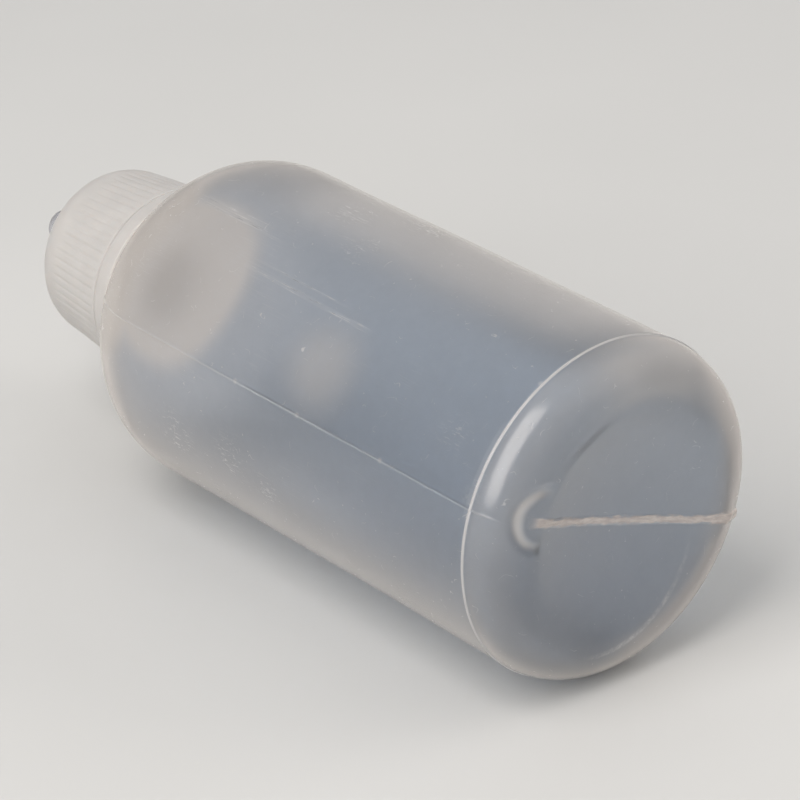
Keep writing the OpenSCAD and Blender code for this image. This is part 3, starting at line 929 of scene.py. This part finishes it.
def mesh_values(obj, what):
    """Centres or normals of an object's faces, one row each."""
    values = np.zeros(len(obj.data.polygons) * 3)
    obj.data.polygons.foreach_get(what, values)
    return values.reshape(-1, 3)


# inside faces get the second material: those that face the axis, the floor and the shoulder's underside
centres = mesh_values(body_obj, "center") / MM
facing_way = mesh_values(body_obj, "normal")
face_r = np.hypot(centres[:, 0], centres[:, 1])
face_z = centres[:, 2]
outward = (facing_way[:, :2] * centres[:, :2]).sum(1) / np.maximum(face_r, 1e-6)
is_inside = (outward < -0.05) & (face_z > 2)
is_inside |= (face_z < 8) & (facing_way[:, 2] > 0.2) & (face_r < R_BODY - 0.5)
is_inside |= (face_z > 50) & (face_z < neck_root_z) & (facing_way[:, 2] < -0.1)
body_obj.data.polygons.foreach_set("material_index", is_inside.astype(np.int32))

# the washer and the tube keep their CAD shapes
for name, slot_name, material in (
    ("seal_washer", "washer_foam", foam_material()),
    ("outlet_tube", "tube_steel", steel_material()),
):
    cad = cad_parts[name]
    cad.data.materials.clear()
    cad.data.materials.append(material)

# ---------------------------------------------------------------- riding on the CAD bodies

for skin, node, body, slot_name in (
    (body_obj, "bottle_body", "bottle", "soft_bottle_plastic"),
    (cap_obj, "screw_cap", "cap", "white_cap_plastic"),
    (nozzle_obj, "nozzle_insert", "nozzle", "nozzle_plastic"),
    (tip_obj, "tip_closure", "tip", "closure_plastic"),
):
    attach(skin, body)
    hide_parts(node)

# ---------------------------------------------------------------- camera

# the photograph's viewing angle, solved together with the bottle's proportions
CAMERA_AT = Vector((0.2704, 0.0946, -0.2249))
CAMERA_RIGHT = Vector((-0.71411, 0.24656, -0.65517))
CAMERA_UP = Vector((0.00528, 0.93779, 0.34716))
CAMERA_BACK = Vector((0.70001, 0.24445, -0.67099))

camera_data = bpy.data.cameras.new("photo_camera")
camera_data.sensor_width = 36.0
camera_data.lens = 168.18
camera_data.clip_start = 0.01
camera_data.clip_end = 10.0
camera = bpy.data.objects.new("photo_camera", camera_data)
bpy.context.scene.collection.objects.link(camera)
turn = Matrix((CAMERA_RIGHT, CAMERA_UP, CAMERA_BACK)).transposed().to_4x4()
camera.matrix_world = Matrix.Translation(CAMERA_AT) @ turn
bpy.context.scene.camera = camera

# ---------------------------------------------------------------- floors and light
# The photograph shows the bottle lying down. Its floor touches the bottle's side and is there for a camera
# that looks up from under the base; the other floor carries the standing bottle in every other view.

LYING_TURN = math.radians(71.2)
LYING_UP = Vector((math.cos(LYING_TURN), math.sin(LYING_TURN), 0.0))
LYING_DROP = (R_BODY + RING_RISE + 0.02) * MM
FLOOR_HALF = 3.0
STANDING_GAP = 0.0003


def floor_material(name, for_lying):
    """Pale floor, clear in the views that it isn't meant for."""
    m = Nodes(name)
    place = m.place()
    lying = m.lying_view()
    shown = lying if for_lying else m.math("SUBTRACT", 1.0, lying)
    tone = m.mix_color(m.noise(place, 0.02, 2.0), (0.60, 0.60, 0.59, 1), (0.64, 0.64, 0.63, 1))
    if not for_lying:
        # lighter far off, where the near lights don't reach, so that it meets the backdrop
        far = m.add("ShaderNodeVectorMath", {0: place}, operation="LENGTH").outputs["Value"]
        tone = m.mix_color(m.ramp(far, 450.0, 1350.0), tone, (0.765, 0.765, 0.757, 1))
    diffuse = m.add("ShaderNodeBsdfDiffuse", {"Color": tone}).outputs[0]
    gloss = m.add("ShaderNodeBsdfGlossy", {"Color": WHITE, "Roughness": 0.25}).outputs[0]
    surface = m.mix_shader(0.04, diffuse, gloss)
    clear = m.add("ShaderNodeBsdfTransparent", {"Color": WHITE}).outputs[0]
    return m.finish(m.mix_shader(shown, clear, surface))


def floor(name, normal, distance, half, material):
    """Square floor at a signed distance along its normal from the origin."""
    across = Vector((0, 0, 1)) if abs(normal.z) < 0.5 else Vector((1, 0, 0))
    along = normal.cross(across).normalized()
    centre = normal * distance
    corners = [
        centre + across * sx * half + along * sy * half for sx, sy in ((-1, -1), (1, -1), (1, 1), (-1, 1))
    ]
    mesh = bpy.data.meshes.new(name)
    mesh.from_pydata([tuple(c) for c in corners], [], [(0, 1, 2, 3)])
    mesh.update()
    obj = bpy.data.objects.new(name, mesh)
    bpy.context.scene.collection.objects.link(obj)
    obj.data.materials.append(material)


lying_floor = floor_material("floor_for_lying", True)
standing_floor = floor_material("floor_for_standing", False)
floor("floor_lying", LYING_UP, -LYING_DROP, FLOOR_HALF, lying_floor)
floor("floor_standing", Vector((0, 0, 1)), -STANDING_GAP, FLOOR_HALF, standing_floor)

MIDDLE = Vector((0, 0, 0.045))


def softbox(name, toward, distance, size, power, color, roll_axis, mirrored=False, lying_only=False):
    """Rectangular light that looks at the middle of the bottle from the given side."""
    data = bpy.data.lights.new(name, "AREA")
    data.shape = "RECTANGLE"
    data.size, data.size_y = size
    data.energy = power
    data.color = color
    obj = bpy.data.objects.new(name, data)
    bpy.context.scene.collection.objects.link(obj)
    z = Vector(toward).normalized()
    y = (Vector(roll_axis) - z * Vector(roll_axis).dot(z)).normalized()
    x = y.cross(z)
    obj.matrix_world = Matrix.Translation(MIDDLE + z * distance) @ Matrix((x, y, z)).transposed().to_4x4()
    obj.visible_glossy = mirrored
    if lying_only:
        data.use_nodes = True
        lamp = Nodes(name, data.node_tree)
        lamp.tree.links.new(lamp.lying_view(), lamp.tree.nodes["Emission"].inputs["Strength"])


def from_camera(right, up, back):
    return CAMERA_RIGHT * right + CAMERA_UP * up + CAMERA_BACK * back


# the lying bottle: a mirrored key light from the camera's left, a soft rim light and a soft top light
key_from, rim_from = from_camera(-0.43, 0.30, 0.73), from_camera(0.9, 0.38, 0.05)
roll = from_camera(0.4, 0.9, -0.1)
along_axis = (0, 0, 1)
softbox(
    "key_lying", key_from, 0.60, (0.36, 0.70), 4.0, (1.0, 0.965, 0.93), roll, mirrored=True, lying_only=True
)
softbox("rim_lying", rim_from, 0.55, (0.4, 0.5), 1.25, (1.0, 0.95, 0.91), roll, lying_only=True)
softbox("top_lying", LYING_UP, 0.60, (0.8, 0.8), 1.15, (1.0, 0.97, 0.94), along_axis, lying_only=True)
# the standing bottle
softbox("key_standing", (0.5, -0.7, 0.9), 0.7, (0.35, 0.6), 1.6, (1.0, 0.98, 0.95), along_axis, mirrored=True)
softbox("fill_standing", (-0.8, 0.5, 0.6), 0.8, (0.6, 0.6), 1.6, (0.95, 0.98, 1.0), along_axis)
# even light for all of the standing bottle's floor
sun_data = bpy.data.lights.new("sky_standing", "SUN")
sun_data.energy = 2.4
sun_data.angle = math.radians(40)
sun = bpy.data.objects.new("sky_standing", sun_data)
bpy.context.scene.collection.objects.link(sun)
sun.rotation_mode = "QUATERNION"
sun.rotation_quaternion = Vector((0.35, -0.6, 1.0)).to_track_quat("Z", "Y")
sun.visible_glossy = False

# the camera sees a backdrop in the floor's tone, and everything else is lit by a dimmer, cooler one
world = bpy.data.worlds.new("studio")
bpy.context.scene.world = world
world.use_nodes = True
studio = Nodes("studio", world.node_tree)
around = studio.add("ShaderNodeBackground", {"Color": (0.80, 0.81, 0.83, 1), "Strength": 0.31}).outputs[0]
behind = studio.add("ShaderNodeBackground", {"Color": (0.66, 0.66, 0.65, 1), "Strength": 1.0}).outputs[0]
seen = studio.add("ShaderNodeLightPath").outputs["Is Camera Ray"]
world_out = world.node_tree.nodes["World Output"]
world.node_tree.links.new(studio.mix_shader(seen, around, behind), world_out.inputs["Surface"])

bpy.context.scene.view_settings.view_transform = "Standard"
